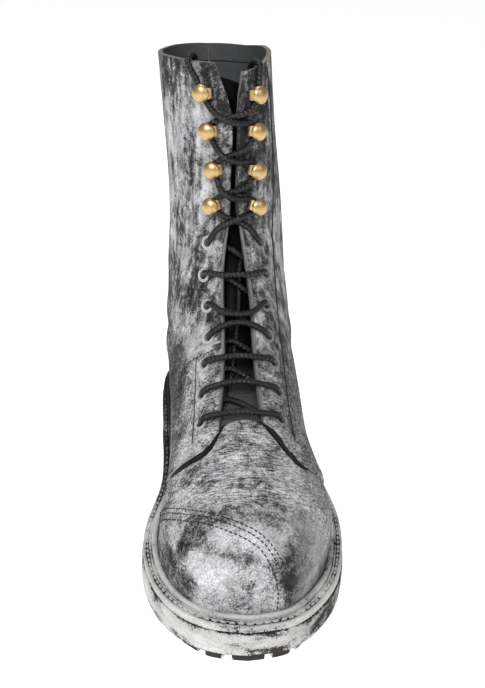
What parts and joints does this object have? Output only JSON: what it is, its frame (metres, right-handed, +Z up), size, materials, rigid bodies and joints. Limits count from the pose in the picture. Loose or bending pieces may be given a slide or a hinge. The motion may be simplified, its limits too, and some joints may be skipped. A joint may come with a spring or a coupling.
{
  "type": "lace-up boot",
  "caption": "Tall lace-up leather boot for the left foot: stitched toe cap, eyelets and hooks up a full-length throat, storm welt, thick midsole and lugged sole.",
  "frame": {"origin": "on the ground, below the middle of the boot's bounding box", "axes": "+Z up, -Y towards the toe, +X towards the outer side of the foot"},
  "size_m": [0.1181, 0.3, 0.2782],
  "materials": {
    "dark_rubber": "matt, worn and dusty",
    "pale_rubber": "matt, dirty off-white",
    "welt_leather": "stitched, worn grey",
    "insole_leather": "matt dark brown",
    "worn_leather": "black leather with worn white paint",
    "tongue_leather": "plain black leather",
    "worn_metal": "worn white metal rings",
    "brass": "satin, worn",
    "waxed_cord": "round braided cord"
  },
  "bodies": {
    "root": {"outsole": "dark_rubber", "heel": "dark_rubber", "midsole": "pale_rubber", "welt": "welt_leather", "insole": "insole_leather", "upper": "worn_leather", "tongue": "tongue_leather", "toe_cap": "worn_leather", "eyestay_medial": "worn_leather", "eyestay_lateral": "worn_leather", "eyelet_medial_1": "worn_metal", "eyelet_medial_2": "worn_metal", "eyelet_medial_3": "worn_metal", "eyelet_medial_4": "worn_metal", "eyelet_medial_5": "worn_metal", "eyelet_medial_6": "worn_metal", "eyelet_medial_7": "worn_metal", "eyelet_lateral_1": "worn_metal", "eyelet_lateral_2": "worn_metal", "eyelet_lateral_3": "worn_metal", "eyelet_lateral_4": "worn_metal", "eyelet_lateral_5": "worn_metal", "eyelet_lateral_6": "worn_metal", "eyelet_lateral_7": "worn_metal", "hook_medial_1": "brass", "hook_medial_2": "brass", "hook_medial_3": "brass", "hook_medial_4": "brass", "hook_lateral_1": "brass", "hook_lateral_2": "brass", "hook_lateral_3": "brass", "hook_lateral_4": "brass", "lace_bar_2": "waxed_cord", "lace_bar_3": "waxed_cord", "lace_bar_4": "waxed_cord", "lace_bar_5": "waxed_cord", "lace_bar_6": "waxed_cord", "lace_bar_7": "waxed_cord", "lace_crossing_1": "waxed_cord", "lace_crossing_2": "waxed_cord", "lace_crossing_3": "waxed_cord", "lace_crossing_4": "waxed_cord", "lace_end_medial": "waxed_cord", "lace_end_lateral": "waxed_cord"}
  },
  "joints": []
}
